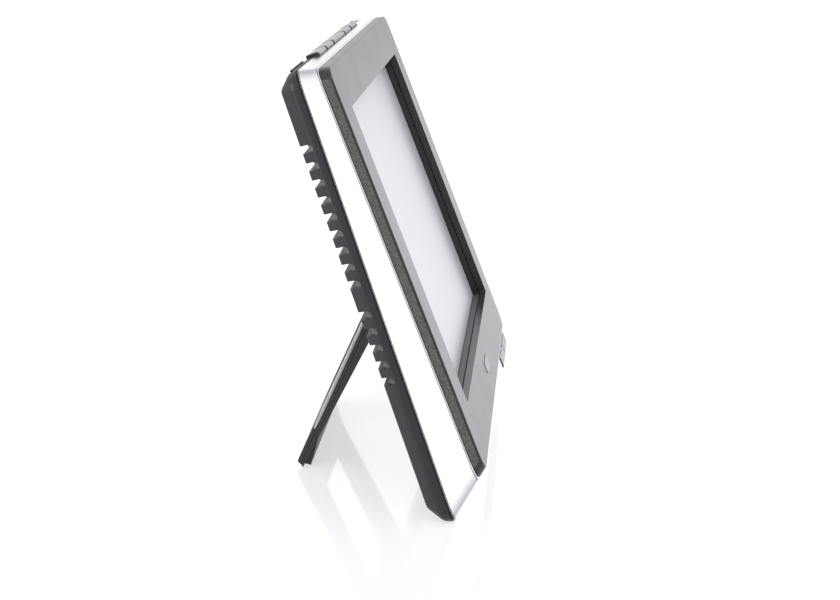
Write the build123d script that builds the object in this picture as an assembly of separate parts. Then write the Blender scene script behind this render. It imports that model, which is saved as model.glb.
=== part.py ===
from build123d import *
import os
from math import atan, cos, degrees, radians, sin, sqrt, tan

# Digital photo frame for a 7 inch 15:9 panel, standing on its folding leg.
#
# Everything is drawn upright in the panel frame first: X runs along the width, Y runs into
# the frame from its front face, and Z runs up the front face from its lower edge. The last
# step leans the whole frame back and sets it on the table. All lengths are millimetres.

os.makedirs("parts", exist_ok=True)

# ---------------------------------------------------------------- driving dimensions
WIDTH = 186.8             # overall width of the body
FACE_LOW = 0.44           # height at which the slanted underside meets the front face
FACE_HIGH = 123.5         # height at which the flared top meets the front face
UNDER_SLOPE = 0.811       # fall of the underside for each millimetre of depth
TOP_SLOPE = 0.256         # rise of the top for each millimetre of depth
CORNER_R = 5.0            # round of the four long body corners
LEAN = 21.03              # backward lean of the front face, degrees
LIFT = 16.2               # height of the panel frame's origin above the table

BEZEL_DEPTH = 3.2         # depth of the dark front bezel
BEZEL_SKIN = 2.4          # thickness of the bezel's face
SEAM_0, SEAM_SLOPE = 13.78, 0.0385    # depth of the band and cover seam at Z = 0, and its taper
BACK_0, BACK_SLOPE = 20.42, 0.040     # depth of the back face at Z = 0, and its taper
COVER_TOP = 125.75        # top of the back cover
BACK_CHAMFER = 3.8        # slanted margin round the back face
SEAM_GROOVE = 0.45        # shadow gap at the front edge of the cover
BEZEL_GROOVE = 0.35       # shadow gap at the rear edge of the bezel
WALL = 2.0                # wall of the band and the cover

SCREEN_W, SCREEN_H = 153.6, 92.8      # opening in the bezel
SCREEN_Z = 63.7           # height of the screen's centre
HOLDER_Y, GLASS_Y = 2.75, 4.8         # front of the inner frame and of the glass
PANEL_W, PANEL_H = 165.0, 100.0       # outline of the display module
GLASS_T, LIGHT_T = 1.2, 2.6           # thickness of the glass and of the backlight

VENT_H, VENT_PITCH = 2.35, 5.06       # height and spacing of the side vents
VENT_GROUPS = ((105.6, 9), (55.75, 5))    # top of the first vent of a group, and how many
VENT_REACH = 20.0         # how far a vent runs across the back
VENT_DEPTH = 2.0          # depth of a vent under the back face

HINGE_Z, HINGE_DEPTH = 52.5, 2.4      # height of the leg's axis, and its depth in the back
LEG_HALF = 40.0           # half width of the leg
LEG_OPEN = 43.1           # swing from folded to open, degrees
LEG_REAR = 1.5            # rear skin's distance outside the axis
FLANGE_TOP, FLANGE_FOOT = 4.25, 0.9   # flange depth inside the axis at the top and the foot
BARREL_R, PIN_R, PIN_GAP = 2.1, 1.25, 0.05
LEG_WINDOW = (22.0, 14.0, 52.0)       # half width of the leg's window, its start and its end

KEY_FRONT, KEY_REAR = 6.8, 11.0       # depth range of the top key caps
KEY_TOP, KEY_LOW = 126.8, 122.9       # top and bottom of the caps
KEY_GAP = 0.22            # clearance round a key
KEY_TRAVEL = 0.6          # stroke of every key
KEY_BOARD_Z, KEY_BOARD_T = 115.4, 1.0       # key board under the top keys
SWITCH_W, SWITCH_T, BUTTON_T = 5.2, 1.6, 0.6    # tact switch body and its button
TOP_KEYS = {              # left end and length of each key along the top
    "top_key_1": (-51.9, 18.2),
    "top_key_2": (-31.6, 17.8),
    "top_key_long": (-11.7, 31.7),
    "top_key_4": (22.1, 18.1),
    "top_key_5": (42.3, 18.2),
}

POD_ENDS, POD_FRONT, POD_LOW = (44.6, 89.4), 1.0, -6.8    # key pod under the slanted underside
POD_WALL, POD_SIDE = 1.0, 0.6         # thickness of the pod's walls and of its ends
POD_SWITCH_Y, POD_BOARD_Y = 3.55, 4.7       # front of the switch buttons and of the board
POD_KEY_LOW, POD_KEY_HIGH = POD_LOW + 1.15, POD_LOW + 4.85      # height range of its keys
POD_KEYS = {"bottom_key_left": (49.6, 19.0), "bottom_key_right": (69.4, 19.0)}

POST_X, POST_HEIGHTS = 86.2, (13.5, 59.0, 112.0)      # case screw posts on each side
POST_REAR, HEAD_SEAT = 9.4, 11.3      # depth where post meets boss, and under the screw head

BOARD_Y, BOARD_T = 11.6, 1.2          # front and thickness of the main board
BOARD_LEFT, BOARD_STEP, BOARD_RIGHT = 46.0, 69.0, 90.6      # its left edge, step and right edge
BOARD_HOLES = ((49.5, 5.0), (49.5, 96.0), (65.5, 96.0), (76.0, 12.0))     # X and Z of its screws
SOCKET_FACE = WIDTH / 2 - WALL - 0.2  # X of the sockets' mouths
CARD_Y, CARD_Z = 10.25, 41.5          # memory card slot in the right side
USB_Y, USB_Z = 9.65, 21.5             # small data socket
JACK_Y, JACK_Z, JACK_R = 9.1, 4.6, 1.85     # power inlet and its bore


# ---------------------------------------------------------------- lines of the side profile
def seam_y(z):
    """Depth of the seam between band and cover."""
    return SEAM_0 - SEAM_SLOPE * z


def back_y(z):
    """Depth of the back face."""
    return BACK_0 - BACK_SLOPE * z


def rest_z(y):
    """Height of the table plane."""
    return y * tan(radians(LEAN)) - LIFT / cos(radians(LEAN))


def flat(depth):
    """A plane of one depth, as a function of height."""
    return lambda z: depth


HINGE_Y = back_y(HINGE_Z) - HINGE_DEPTH
BACK_ANGLE = degrees(atan(BACK_SLOPE))
LEG_ANGLE = LEG_OPEN + BACK_ANGLE     # open leg, measured from the panel's vertical
LEG_TILT = radians(LEG_ANGLE - LEAN)  # open leg, measured from the true vertical
HINGE_HEIGHT = LIFT + HINGE_Z * cos(radians(LEAN)) - HINGE_Y * sin(radians(LEAN))
LEG_REACH = (HINGE_HEIGHT - FLANGE_FOOT * sin(LEG_TILT)) / cos(LEG_TILT)


# ---------------------------------------------------------------- drawing helpers
def slab(x0, x1, y0, y1, z0, z1):
    """A block between two opposite corners."""
    return Pos((x0 + x1) / 2, (y0 + y1) / 2, (z0 + z1) / 2) * Box(x1 - x0, y1 - y0, z1 - z0)


def prism(points, x0, x1):
    """A side profile, given as (Y, Z) points, carried from x0 to x1."""
    return extrude(Plane.YZ.offset(x0) * Polygon(*points, align=None), x1 - x0, dir=(1, 0, 0))


def rod_y(x, z, y0, y1, radius):
    """A round bar that runs into the depth."""
    return Pos(x, (y0 + y1) / 2, z) * Rot(90, 0, 0) * Cylinder(radius, y1 - y0)


def rod_x(y, z, x0, x1, radius):
    """A round bar that runs along the width."""
    return Pos((x0 + x1) / 2, y, z) * Rot(0, 90, 0) * Cylinder(radius, x1 - x0)


def rod_z(x, y, z0, z1, radius):
    """A round bar that runs up the frame."""
    return Pos(x, y, (z0 + z1) / 2) * Cylinder(radius, z1 - z0)


def space(front, rear):
    """All space between two depths, each a function of height."""
    low, high = -60.0, 200.0
    profile = [(front(low), low), (front(high), high), (rear(high), high), (rear(low), low)]
    return prism(profile, -WIDTH, WIDTH)


def round_corners(block, radius):
    """Rounds the four edges that run into the depth."""
    reach = block.bounding_box().max.X
    corners = [
        edge for edge in block.edges()
        if abs(abs(edge.center().X) - reach) < 1e-3 and abs(edge.tangent_at(0.5).Y) > 0.5
    ]
    return fillet(corners, radius)


def body_tube(inset=0.0):
    """Outer form of bezel and band, shrunk by an inset on the sides, top and underside."""
    low = FACE_LOW + inset * sqrt(1 + UNDER_SLOPE**2)
    high = FACE_HIGH - inset * sqrt(1 + TOP_SLOPE**2)
    y0, y1 = -2.0, 22.0
    half = WIDTH / 2 - inset
    profile = [
        (y0, low - UNDER_SLOPE * y0), (y0, high + TOP_SLOPE * y0),
        (y1, high + TOP_SLOPE * y1), (y1, low - UNDER_SLOPE * y1),
    ]
    return round_corners(prism(profile, -half, half), CORNER_R - inset)


def cover_tube(inset=0.0):
    """Outer form of the back cover before its back margin is slanted."""
    front, high, lift = 5.0, COVER_TOP - inset, inset / cos(radians(LEAN))
    rear = (BACK_0 - BACK_SLOPE * (rest_z(0) + lift)) / (1 + BACK_SLOPE * tan(radians(LEAN)))
    half = WIDTH / 2 - inset
    profile = [
        (front, rest_z(front) + lift), (front, high),
        (back_y(high), high), (rear, rest_z(rear) + lift),
    ]
    return round_corners(prism(profile, -half, half), CORNER_R - inset)


def key_block(key, grow, y0, y1, z0, z1):
    """The block that one key takes, grown on all four sides."""
    left, length = key
    return slab(left - grow, left + length + grow, y0 - grow, y1 + grow, z0, z1)


def pan_screw(x, z, seat, tip, head_r, head_t, shank_r):
    """A pan head screw driven from behind, with a cross recess in its head."""
    screw = rod_y(x, z, tip, seat + 0.01, shank_r) + rod_y(x, z, seat, seat + head_t, head_r)
    rim = [edge for edge in screw.edges() if abs(edge.center().Y - seat - head_t) < 1e-3]
    screw = fillet(rim, head_t * 0.3)
    recess, blade = head_r * 0.55, head_r * 0.13
    rear = seat + head_t
    screw -= slab(x - recess, x + recess, rear - 0.6, rear + 1, z - blade, z + blade)
    return screw - slab(x - blade, x + blade, rear - 0.6, rear + 1, z - recess, z + recess)


# ---------------------------------------------------------------- front bezel and band
def badge_plate(grow=0.0):
    """Small blank oval plate in the middle of the bezel's lower margin."""
    outline = SlotOverall(14 + 2 * grow, 4 + 2 * grow)
    return extrude(Plane.XZ.offset(0.2) * Pos(0, 8.9) * outline, 0.7 + grow, dir=(0, 1, 0))


def front_bezel():
    """Face plate with the screen opening, a rim, and six screw posts."""
    plate = body_tube() & space(flat(0), flat(BEZEL_DEPTH))
    plate = fillet([edge for edge in plate.edges() if abs(edge.center().Y) < 1e-3], 0.5)
    groove = space(flat(BEZEL_DEPTH - BEZEL_GROOVE), flat(BEZEL_DEPTH + 1)) - body_tube(BEZEL_GROOVE)
    pocket = body_tube(WALL) & space(flat(BEZEL_SKIN), flat(BEZEL_DEPTH + 1))
    low, high = SCREEN_Z - SCREEN_H / 2, SCREEN_Z + SCREEN_H / 2
    opening = slab(-SCREEN_W / 2, SCREEN_W / 2, -5, 10, low, high)
    opening = fillet(opening.edges().filter_by(Axis.Y), 0.8)
    solid = plate - groove - pocket - opening - badge_plate(grow=0.05)
    for x in (-POST_X, POST_X):
        for z in POST_HEIGHTS:
            solid += rod_y(x, z, BEZEL_SKIN - 0.4, POST_REAR, 2.8)
            solid -= rod_y(x, z, BEZEL_SKIN + 0.8, POST_REAR + 1, 1.15)
    return solid


def port_cuts():
    """Openings of the card slot, data socket and power inlet in the right side."""
    inner, outer = WIDTH / 2 - WALL - 0.5, WIDTH / 2 + 5
    card = slab(inner, outer, CARD_Y - 1.25, CARD_Y + 1.15, CARD_Z - 12.6, CARD_Z + 12.6)
    usb = slab(inner, outer, USB_Y - 1.75, USB_Y + 1.75, USB_Z - 3.8, USB_Z + 3.8)
    usb = fillet(usb.edges().filter_by(Axis.X), 0.8)
    return card + usb + rod_x(JACK_Y, JACK_Z, inner, outer, JACK_R + 0.6)


def silver_band():
    """Polished ring between the bezel and the cover."""
    ring = body_tube() & space(flat(BEZEL_DEPTH), seam_y)
    rims = [
        edge for edge in ring.edges()
        if min(abs(edge.center().Y - depth) for depth in (BEZEL_DEPTH, seam_y(edge.center().Z))) < 0.05
    ]
    solid = chamfer(rims, 0.2) - body_tube(WALL)
    for key in TOP_KEYS.values():
        solid -= key_block(key, KEY_GAP, KEY_FRONT, KEY_REAR, 115, 130)
    cable_way = slab(55, 80, 4.2, 8.4, -12, 4)
    return solid - port_cuts() - cable_way


# ---------------------------------------------------------------- back cover
def vent_cutters():
    """Rounded channels cut through the slanted side margins and across the back."""
    reach, half = VENT_REACH, WIDTH / 2
    cutters = []
    for top, count in VENT_GROUPS:
        for index in range(count):
            z = top - VENT_H / 2 - index * VENT_PITCH
            floor = back_y(z) - VENT_DEPTH
            side = back_y(z) - BACK_CHAMFER - 0.2
            outline = Polygon(
                (half + 3, side - 1.1), (half - 6, floor), (half - reach, floor),
                (half - reach - 2.4, back_y(z) + 2), (half + 3, back_y(z) + 2), align=None,
            )
            channel = extrude(Plane.XY.offset(z - VENT_H / 2) * outline, VENT_H, dir=(0, 0, 1))
            bed = [
                edge for edge in channel.edges()
                if edge.center().Y < back_y(z) - 1 and abs(edge.tangent_at(0.5).Z) < 0.1
                and edge.length > 5
            ]
            channel = fillet(bed, VENT_H * 0.42)
            slit = slab(half - reach + 2, half - 8, floor - 4, floor + 1, z - 0.5, z + 0.5)
            cutters += [channel, slit]
            cutters += [mirror(channel, Plane.YZ), mirror(slit, Plane.YZ)]
    return cutters


def bay_block(grow=0.0):
    """Recess that takes the folded leg, open at the back and below, with a slanted stop."""
    turn = radians(LEG_ANGLE)
    upper = HINGE_Z + 4.6 + grow
    stop = 3.75 + grow
    floor_top = back_y(HINGE_Z) - 7.1 - grow
    floor_low = back_y(rest_z(18)) - 5.9 - grow

    def stop_point(along):
        y = HINGE_Y - stop * sin(turn) + along * cos(turn)
        z = HINGE_Z + stop * cos(turn) + along * sin(turn)
        return y, z

    meet_floor = (floor_top - HINGE_Y + stop * sin(turn)) / cos(turn)
    meet_roof = (upper - HINGE_Z - stop * cos(turn)) / sin(turn)
    low = rest_z(18) - (20 if grow == 0 else 0)
    drift = (floor_low - floor_top) / (HINGE_Z - rest_z(18))
    profile = [
        (floor_top + drift * (HINGE_Z - low), low), stop_point(meet_floor),
        stop_point(meet_roof), (40, upper), (40, low),
    ]
    half = LEG_HALF + 0.6 + grow
    return prism(profile, -half, half)


def keyhole(x, z):
    """Hanging slot: a round entry with a narrower slot above it."""
    depth0, depth1 = back_y(z) - 3.5, back_y(z) + 2
    entry = rod_y(x, z, depth0, depth1, 3.6)
    neck = slab(x - 1.7, x + 1.7, depth0, depth1, z, z + 7)
    return entry + neck + rod_y(x, z + 7, depth0, depth1, 1.7)


def cover_cavity():
    """Room inside the cover, shallower behind the vents."""
    rear_main, rear_side = WALL + 0.2, BACK_CHAMFER + 0.2
    main = [
        (4, -13.4), (15.0, -9.2), (18.3, -4.5),
        (back_y(121.8) - rear_main, 121.8), (11.5, 123.5), (4, 123.5),
    ]
    side = [
        (4, -13.4), (14.6, -9.4), (16.2, -6.5),
        (back_y(119) - rear_side, 119.0), (9.5, 122.0), (4, 122.0),
    ]
    half = WIDTH / 2 - 2.4
    wide = prism(side, -half, half)
    ends = [edge for edge in wide.edges() if abs(edge.center().X) > half - 0.01 and edge.length < 30]
    return prism(main, -70, 70) + fillet(ends, 2.0)


def rim_edges(block, nearest, farthest):
    """Edges that run round the body within a range of depths under the back face."""
    return [
        edge for edge in block.edges()
        if nearest <= back_y(edge.center().Z) - edge.center().Y <= farthest
        and abs(edge.tangent_at(0.5).Y) < 0.5
    ]


def back_cover():
    """Rear shell with its vents, the leg's bay, screw bosses and hanging slots."""
    block = cover_tube()
    block = chamfer(rim_edges(block, -0.1, 0.3), BACK_CHAMFER)
    block = fillet(rim_edges(block, -0.1, 0.3), 1.8)
    block = fillet(rim_edges(block, 3.2, 4.4), 2.8)
    block &= space(seam_y, flat(60))
    groove = space(lambda z: seam_y(z) - 1, lambda z: seam_y(z) + SEAM_GROOVE)
    groove -= cover_tube(SEAM_GROOVE)
    tub = bay_block(grow=1.4) & cover_tube(0.5)
    front_of_seam = bay_block(grow=1.4) & body_tube(WALL + 0.15)
    front_of_seam &= space(flat(9.4), lambda z: seam_y(z) + 0.2)
    shell = block - groove - (cover_cavity() - tub) + front_of_seam
    for x, z in BOARD_HOLES:
        shell += rod_y(x, z, BOARD_Y + BOARD_T, back_y(z) - 1.5, 2.3)
        shell -= rod_y(x, z, BOARD_Y + BOARD_T - 1, BOARD_Y + BOARD_T + 1.8, 1.05)
    for x in (-POST_X, POST_X):
        for z in POST_HEIGHTS:
            shell += rod_y(x, z, POST_REAR, back_y(z) - 1.5, 3.1)
            shell -= rod_y(x, z, HEAD_SEAT, back_y(z) + 3, 2.45)
            shell -= rod_y(x, z, POST_REAR - 1, HEAD_SEAT + 1, 1.3)
    for side in (-1, 1):
        shell += slab(*sorted((side * 60, side * 86)), 10.9, 11.5, COVER_TOP - 0.5, COVER_TOP + 0.45)
        shell -= keyhole(side * 52, 105.5)
        shell -= rod_x(HINGE_Y, HINGE_Z, *sorted((side * 39, side * 46)), PIN_R)
    for key in TOP_KEYS.values():
        shell -= key_block(key, KEY_GAP, KEY_FRONT, KEY_REAR, 115, 130)
    for cutter in vent_cutters():
        shell -= cutter
    return shell - bay_block()


# ---------------------------------------------------------------- standing leg, drawn folded
def leg_point(along, out):
    """(Y, Z) of a point on the folded leg: along it from the axis, and outwards from it."""
    turn = radians(BACK_ANGLE)
    y = HINGE_Y + along * sin(turn) + out * cos(turn)
    z = HINGE_Z - along * cos(turn) + out * sin(turn)
    return y, z


def leg_prism(points, x0, x1):
    """A leg profile, given as (along, out) points, carried from x0 to x1."""
    return prism([leg_point(*point) for point in points], x0, x1)


def open_leg(shape):
    """Swings a folded piece of the leg out to where it stands."""
    axis_at = Pos(0, HINGE_Y, HINGE_Z)
    return axis_at * Rot(LEG_OPEN, 0, 0) * axis_at.inverse() * shape


def stand_leg():
    """Flanged plate with a large window, two hinge barrels and a foot bar."""
    end, foot = LEG_REACH, FLANGE_FOOT
    half, window, start, stop = LEG_HALF, *LEG_WINDOW
    skin = 1.2
    inner = LEG_REAR - skin
    leg = leg_prism(
        [(2.4, inner), (1.4, LEG_REAR), (end - 1.2, LEG_REAR), (end - 0.7, inner)], -half, half,
    )
    flange = [(0.0, -1.8), (1.0, -FLANGE_TOP), (end, -foot), (end - 0.7, inner), (0.6, inner)]
    for x0, x1 in ((-half + 0.4, -half + 2.6), (half - 2.6, half - 0.4)):
        leg += leg_prism(flange, x0, x1)
    opening = leg_prism([(start, -9), (stop, -9), (stop, 9), (start, 9)], -window, window)
    rim_low = -1.2
    rim = leg_prism(
        [(start - 1.6, rim_low), (stop + 1.6, rim_low), (stop + 1.6, 0.4), (start - 1.6, 0.4)],
        -window - 1.6, window + 1.6,
    )
    foot_bar = leg_prism(
        [(stop + 1.0, rim_low), (end - 1.0, -2.9), (end - 0.6, 0.4), (stop, 0.4)],
        -half + 2.5, half - 2.5,
    )
    leg = leg + rim + foot_bar - opening
    knuckle = [(-3.6, -0.5), (-3.6, 0.9), (-3.0, 1.4), (2.6, LEG_REAR), (2.6, -1.9), (0, -2.0)]
    for x0, x1 in ((-half, -half + 15), (half - 15, half)):
        leg += rod_x(HINGE_Y, HINGE_Z, x0, x1, BARREL_R) + leg_prism(knuckle, x0, x1)
        leg -= rod_x(HINGE_Y, HINGE_Z, x0 - 1, x1 + 1, PIN_R + PIN_GAP)
    pad = foot_pad_profile(0.05)
    return open_leg(leg - leg_prism(pad, -half + 4 - 0.05, half - 4 + 0.05))


def foot_pad_profile(grow=0.0):
    """Side profile of the rubber strip under the foot."""
    end = LEG_REACH
    return [
        (end - 1.5 - grow, -2.3 - grow), (end - 1.5 - grow, -0.9 + grow),
        (end - 0.1, -0.9 + grow), (end - 0.1, -1.1), (end - 0.75, -2.3 - grow),
    ]


def leg_foot_pad():
    """Rubber strip let into the foot bar, which grips the table."""
    return open_leg(leg_prism(foot_pad_profile(), -LEG_HALF + 4, LEG_HALF - 4))


def hinge_pins():
    """Two short steel pins, pressed into the bay's walls and running in the leg's barrels."""
    return [rod_x(HINGE_Y, HINGE_Z, *sorted((side * 26, side * 45)), PIN_R) for side in (-1, 1)]


def friction_washers():
    """Washers between the barrels and the bay's walls, which keep the leg where it is put."""
    washers = []
    for side in (-1, 1):
        x0, x1 = sorted((side * (LEG_HALF + 0.1), side * (LEG_HALF + 0.5)))
        bore = rod_x(HINGE_Y, HINGE_Z, x0 - 1, x1 + 1, PIN_R + PIN_GAP)
        washers.append(rod_x(HINGE_Y, HINGE_Z, x0, x1, 2.0) - bore)
    return washers


# ---------------------------------------------------------------- display
def lcd_glass():
    """Front glass of the panel with its polariser."""
    low = SCREEN_Z - PANEL_H / 2
    return slab(-PANEL_W / 2, PANEL_W / 2, GLASS_Y, GLASS_Y + GLASS_T, low, low + PANEL_H)


def lcd_backlight():
    """Metal tray that holds the light guide."""
    low, front = SCREEN_Z - PANEL_H / 2, GLASS_Y + GLASS_T
    tray = slab(-PANEL_W / 2, PANEL_W / 2, front, front + LIGHT_T, low, low + PANEL_H)
    tray = fillet(tray.edges().filter_by(Axis.Y), 1.0)
    for z in (low + 12, low + PANEL_H - 12):
        tray -= slab(-60, 60, front + LIGHT_T - 0.3, front + LIGHT_T + 1, z - 2, z + 2)
    return tray


def lcd_holder():
    """Inner frame behind the bezel that carries the display."""
    low, high = SCREEN_Z - SCREEN_H / 2, SCREEN_Z + SCREEN_H / 2
    panel_low, rear = SCREEN_Z - PANEL_H / 2, GLASS_Y + GLASS_T + LIGHT_T
    panel_high, half = panel_low + PANEL_H, PANEL_W / 2
    gap, wall = 0.15, 0.7
    outer = slab(-half - wall, half + wall, HOLDER_Y, rear, panel_low - wall, panel_high + wall)
    window = slab(-SCREEN_W / 2 + 0.3, SCREEN_W / 2 - 0.3, 0, 20, low + 0.3, high - 0.3)
    return outer - window - slab(-half - gap, half + gap, GLASS_Y, 20, panel_low - gap, panel_high + gap)


# ---------------------------------------------------------------- top keys and their board
def top_key(name):
    """Rounded cap with a retaining flange and two stems."""
    left, length = TOP_KEYS[name]
    cap = key_block(TOP_KEYS[name], 0, KEY_FRONT, KEY_REAR, KEY_LOW, KEY_TOP)
    crest = [edge for edge in cap.edges() if edge.center().Z > KEY_TOP - 0.01]
    front = [edge for edge in crest if edge.center().Y < KEY_FRONT + 0.01]
    cap = fillet([edge for edge in crest if edge not in front], 0.3)
    nose = [
        edge for edge in cap.edges()
        if edge.center().Z > KEY_TOP - 1.0 and edge.center().Y < KEY_FRONT + 0.01 and edge.length > 5
    ]
    cap = fillet(nose, 0.9)
    right = left + length
    flange = slab(left - 0.3, right + 0.3, KEY_FRONT - 0.9, KEY_REAR + 0.9, KEY_LOW - 1.1, KEY_LOW)
    middle = (KEY_FRONT + KEY_REAR) / 2
    stem = rod_z(left + length / 2, middle, key_button_top() + KEY_TRAVEL + 0.05, KEY_LOW - 1.0, 1.6)
    return cap + flange + stem


def key_button_top():
    """Height of the switch buttons under the top keys."""
    return KEY_BOARD_Z + KEY_BOARD_T + SWITCH_T + BUTTON_T


def key_board():
    """Narrow circuit board under the top keys."""
    board = slab(-56, 66, 5.0, 12.4, KEY_BOARD_Z, KEY_BOARD_Z + KEY_BOARD_T)
    return fillet(board.edges().filter_by(Axis.Z), 1.0)


def key_switches():
    """One tact switch under each top key."""
    middle, base = (KEY_FRONT + KEY_REAR) / 2, KEY_BOARD_Z + KEY_BOARD_T
    half = SWITCH_W / 2
    switches = []
    for left, length in TOP_KEYS.values():
        x = left + length / 2
        body = slab(x - half, x + half, middle - half, middle + half, base, base + SWITCH_T)
        body = chamfer(body.edges().filter_by(Axis.Z), 0.5)
        switches.append(body + rod_z(x, middle, base + SWITCH_T - 0.1, key_button_top(), 1.4))
    return switches


# ---------------------------------------------------------------- key pod under the slanted bottom
def under_y(z):
    """Depth at which the slanted underside has fallen to a height."""
    return (FACE_LOW - z) / UNDER_SLOPE


def pod_wedge(x0, x1, front, low, shift=0.0):
    """Wedge between a front plane, a level floor and the slanted underside."""
    crest = (front, FACE_LOW - UNDER_SLOPE * (front + shift))
    return prism([crest, (front, low), (under_y(low) - shift, low)], x0, x1)


def pod_window(grow):
    """Opening in the pod's face that both keys share."""
    left, right = POD_KEYS["bottom_key_left"][0], sum(POD_KEYS["bottom_key_right"])
    return slab(left - grow, right + grow, POD_FRONT - 1, POD_FRONT + POD_WALL + 0.1,
                POD_KEY_LOW - grow, POD_KEY_HIGH + grow)


def bottom_pod():
    """Hollow silver wedge that carries the two lower keys."""
    left, right = POD_ENDS
    body = pod_wedge(left, right, POD_FRONT, POD_LOW)
    hollow = pod_wedge(
        left + POD_SIDE, right - POD_SIDE, POD_FRONT + POD_WALL, POD_LOW + POD_WALL, shift=-1.0
    )
    low_front = [
        edge for edge in body.edges()
        if abs(edge.center().Y - POD_FRONT) < 1e-3 and abs(edge.center().Z - POD_LOW) < 1e-3
    ]
    return fillet(low_front, 0.5) - hollow - pod_window(KEY_GAP)


def pod_key(name):
    """Flat push key with a retaining flange and a stem."""
    left, length = POD_KEYS[name]
    proud, rear = 0.35, POD_FRONT + POD_WALL
    cap = slab(left, left + length, POD_FRONT - proud, rear + 0.1, POD_KEY_LOW, POD_KEY_HIGH)
    cap = fillet([edge for edge in cap.edges() if edge.center().Y < POD_FRONT - 0.3], 0.3)
    flange = slab(
        left - 0.3, left + length + 0.3, rear + 0.05, rear + 0.6, POD_KEY_LOW + 0.15, POD_KEY_HIGH - 1.2,
    )
    x, z = left + length / 2, POD_LOW + 1.85
    return cap + flange + rod_y(x, z, rear + 0.5, POD_SWITCH_Y - KEY_TRAVEL - 0.05, 0.9)


def pod_board():
    """Small circuit board behind the lower keys."""
    left, right = POD_ENDS
    return slab(left + 2, right - 2, POD_BOARD_Y, POD_BOARD_Y + 0.5, POD_LOW + 1.1, POD_LOW + 2.6)


def pod_switches():
    """Two slim side switches on the pod's board."""
    switches = []
    for left, length in POD_KEYS.values():
        x, z0, z1 = left + length / 2, POD_LOW + 1.2, POD_LOW + 2.5
        body = slab(x - 2.5, x + 2.5, POD_SWITCH_Y + 0.4, POD_BOARD_Y, z0, z1)
        switches.append(body + rod_y(x, (z0 + z1) / 2, POD_SWITCH_Y, POD_SWITCH_Y + 0.5, 0.6))
    return switches


# ---------------------------------------------------------------- main board and its sockets
def main_board():
    """Controller board behind the display, cut round the lower screw post."""
    rear = BOARD_Y + BOARD_T
    board = slab(BOARD_LEFT, BOARD_RIGHT, BOARD_Y, rear, 1.0, 55.4)
    board += slab(BOARD_LEFT, BOARD_STEP, BOARD_Y, rear, 50, 100)
    board = fillet(board.edges().filter_by(Axis.Y), 1.0)
    board -= rod_y(POST_X, POST_HEIGHTS[0], BOARD_Y - 1, rear + 1, 3.7)
    for x, z in BOARD_HOLES:
        board -= rod_y(x, z, BOARD_Y - 1, rear + 1, 1.2)
    return board


def board_chips():
    """Processor, memory, regulator and coil packages."""
    rear, front = BOARD_Y + BOARD_T, BOARD_Y
    packages = [
        slab(50, 64, rear, rear + 1.2, 58, 72), slab(52, 62, rear, rear + 1.0, 42, 54),
        slab(51, 63, rear, rear + 1.1, 76, 84), slab(66, 72, rear, rear + 1.6, 24, 30),
        slab(58, 62, rear, rear + 1.3, 12, 17), slab(54, 60, front - 1.2, front, 30, 36),
    ]
    return [chamfer(package.edges().filter_by(Axis.Y), 0.3) for package in packages]


def socket(x1, depth, y0, y1, z0, z1, wall, mouth):
    """Sheet metal shell round a blind mouth that opens to the right."""
    shell = slab(x1 - depth, x1, y0, y1, z0, z1)
    return shell - slab(x1 - mouth, x1 + 1, y0 + wall, y1 - wall, z0 + wall, z1 - wall)


def card_slot():
    """Metal cage for a memory card."""
    return socket(SOCKET_FACE, 27.0, CARD_Y - 1.45, BOARD_Y, CARD_Z - 13.3, CARD_Z + 13.3, 0.25, 24.0)


def usb_socket():
    """Small data socket with its contact tongue."""
    face = SOCKET_FACE
    shell = socket(face, 7.8, USB_Y - 1.95, BOARD_Y, USB_Z - 3.95, USB_Z + 3.95, 0.35, 6.2)
    return shell + slab(face - 6.5, face - 1, USB_Y - 0.5, USB_Y + 0.4, USB_Z - 2.4, USB_Z + 2.4)


def dc_jack():
    """Power inlet with its centre pin."""
    block = slab(SOCKET_FACE - 8.5, SOCKET_FACE, JACK_Y - 2.5, BOARD_Y, JACK_Z - 3.2, JACK_Z + 3.2)
    block -= rod_x(JACK_Y, JACK_Z, SOCKET_FACE - 7.5, SOCKET_FACE + 1, JACK_R)
    return block + rod_x(JACK_Y, JACK_Z, SOCKET_FACE - 8, SOCKET_FACE - 1, 0.65)


def key_ribbon():
    """Ribbon from the main board up to the key board."""
    left, right, rear = 56.2, 62.8, BOARD_Y + BOARD_T + 0.4
    run = slab(left, right, rear - 0.2, rear, 97.0, KEY_BOARD_Z)
    foot = slab(left, right, BOARD_Y + BOARD_T, rear, 96.8, 97.0)
    return run + foot + slab(left, right, 10.5, rear, KEY_BOARD_Z - 0.2, KEY_BOARD_Z)


def panel_ribbon():
    """Short ribbon from the display's rear to the main board."""
    rear = GLASS_Y + GLASS_T + LIGHT_T
    return slab(48, 60, rear, BOARD_Y, 20.0, 20.2) + slab(48, 60, rear, rear + 0.2, 20.2, 28.0)


def pod_ribbon():
    """Ribbon from the main board down through the band to the pod."""
    return slab(58, 68, 6.4, 6.6, -5.4, 10.5) + slab(58, 68, 6.4, BOARD_Y, 10.3, 10.5)


# ---------------------------------------------------------------- fasteners
def case_screws():
    """Six screws that draw the cover and the band against the bezel."""
    return [
        pan_screw(x, z, HEAD_SEAT, 4.2, 2.1, 1.5, 1.1)
        for x in (-POST_X, POST_X) for z in POST_HEIGHTS
    ]


def board_screws():
    """Screws that hold the main board to the cover's pillars."""
    tip = BOARD_Y + BOARD_T + 1.5
    return [
        rod_y(x, z, BOARD_Y - 1.0, BOARD_Y, 1.9) + rod_y(x, z, BOARD_Y - 0.1, tip, 1.0)
        for x, z in BOARD_HOLES
    ]


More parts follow.
